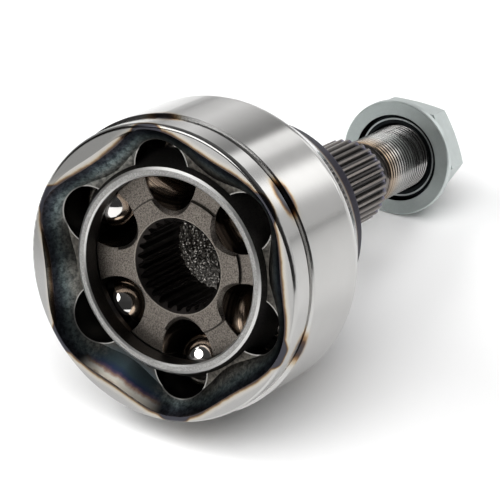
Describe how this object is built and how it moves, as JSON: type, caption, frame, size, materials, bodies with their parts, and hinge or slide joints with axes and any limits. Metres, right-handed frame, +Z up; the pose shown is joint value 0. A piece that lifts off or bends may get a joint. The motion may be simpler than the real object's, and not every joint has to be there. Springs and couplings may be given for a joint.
{
  "type": "constant-velocity joint",
  "caption": "Fixed ball joint for a drive shaft: splined inner race, caged balls in a lobed bell, and a splined stub with a threaded end and hub nut.",
  "frame": {"origin": "the joint centre, where the axes of the bell, the cage and the inner race meet", "axes": "+Z up as the joint lies on a bench; the joint's axis lies in the XZ plane and runs from the open mouth at -X to the stub's threaded end at +X, dipping with it; +Y completes the right-handed frame"},
  "size_m": [0.1638, 0.084, 0.0878],
  "materials": {
    "turned_steel": "turned, with heat tint round the lobed mouth",
    "ground_steel": "ground faces on a grainy dark skin",
    "phosphated_steel": "matte brown-grey",
    "ball_steel": "mirror polished",
    "zinc_plate": "satin blue-white zinc plate"
  },
  "bodies": {
    "outer_race": {"outer_race": "turned_steel"},
    "ball_cage": {"ball_cage": "ground_steel"},
    "inner_race": {"inner_race": "phosphated_steel"},
    "ball_1": {"ball_1": "ball_steel"},
    "ball_2": {"ball_2": "ball_steel"},
    "ball_3": {"ball_3": "ball_steel"},
    "ball_4": {"ball_4": "ball_steel"},
    "ball_5": {"ball_5": "ball_steel"},
    "ball_6": {"ball_6": "ball_steel"},
    "nut_washer": {"nut_washer": "zinc_plate"},
    "hub_nut": {"hub_nut": "zinc_plate"}
  },
  "joints": [
    {"name": "articulation", "type": "hinge", "parent": "outer_race", "child": "inner_race", "pos_m": [0, 0, 0], "axis": [-0.0485, 0.9744, -0.2197], "range_deg": [-45, 45]},
    {"name": "cage_tilt", "type": "hinge", "parent": "outer_race", "child": "ball_cage", "pos_m": [0, 0, 0], "axis": [-0.0485, 0.9744, -0.2197], "range_deg": [-22.5, 22.5]},
    {"name": "ball_1_shift", "type": "slide", "parent": "ball_cage", "child": "ball_1", "axis": [0.21, 0.225, 0.9515], "range_m": [-0.00172, 0.00172]},
    {"name": "ball_2_roll", "type": "hinge", "parent": "outer_race", "child": "ball_2", "pos_m": [-0.00439, 0, 0.00097], "axis": [0.1576, 0.682, 0.7142], "range_deg": [-11.66, 11.66]},
    {"name": "ball_3_roll", "type": "hinge", "parent": "outer_race", "child": "ball_3", "pos_m": [-0.00439, 0, 0.00097], "axis": [0.2061, -0.2924, 0.9338], "range_deg": [-11.66, 11.66]},
    {"name": "ball_4_shift", "type": "slide", "parent": "ball_cage", "child": "ball_4", "axis": [-0.21, -0.225, -0.9515], "range_m": [-0.00172, 0.00172]},
    {"name": "ball_5_roll", "type": "hinge", "parent": "outer_race", "child": "ball_5", "pos_m": [-0.00439, 0, 0.00097], "axis": [-0.1576, -0.682, -0.7142], "range_deg": [-11.66, 11.66]},
    {"name": "ball_6_roll", "type": "hinge", "parent": "outer_race", "child": "ball_6", "pos_m": [-0.00439, 0, 0.00097], "axis": [-0.2061, 0.2924, -0.9338], "range_deg": [-11.66, 11.66]},
    {"name": "nut_travel", "type": "slide", "parent": "outer_race", "child": "nut_washer", "axis": [0.9765, 0, -0.2155], "range_m": [-0.0225, 0.018]},
    {"name": "nut_spin", "type": "hinge", "parent": "nut_washer", "child": "hub_nut", "pos_m": [0.11967, 0, -0.02641], "axis": [0.9765, 0, -0.2155], "range_deg": [-5400, 4320]}
  ],
  "couplings": [
    {"joint": "cage_tilt", "follows": "articulation", "ratio": 0.5},
    {"joint": "ball_1_shift", "follows": "articulation", "m_per_rad": -0.002195},
    {"joint": "ball_2_roll", "follows": "articulation", "ratio": 0.259},
    {"joint": "ball_3_roll", "follows": "articulation", "ratio": -0.259},
    {"joint": "ball_4_shift", "follows": "articulation", "m_per_rad": 0.002195},
    {"joint": "ball_5_roll", "follows": "articulation", "ratio": -0.259},
    {"joint": "ball_6_roll", "follows": "articulation", "ratio": 0.259},
    {"joint": "nut_travel", "follows": "nut_spin", "m_per_rad": 0.00023873}
  ]
}
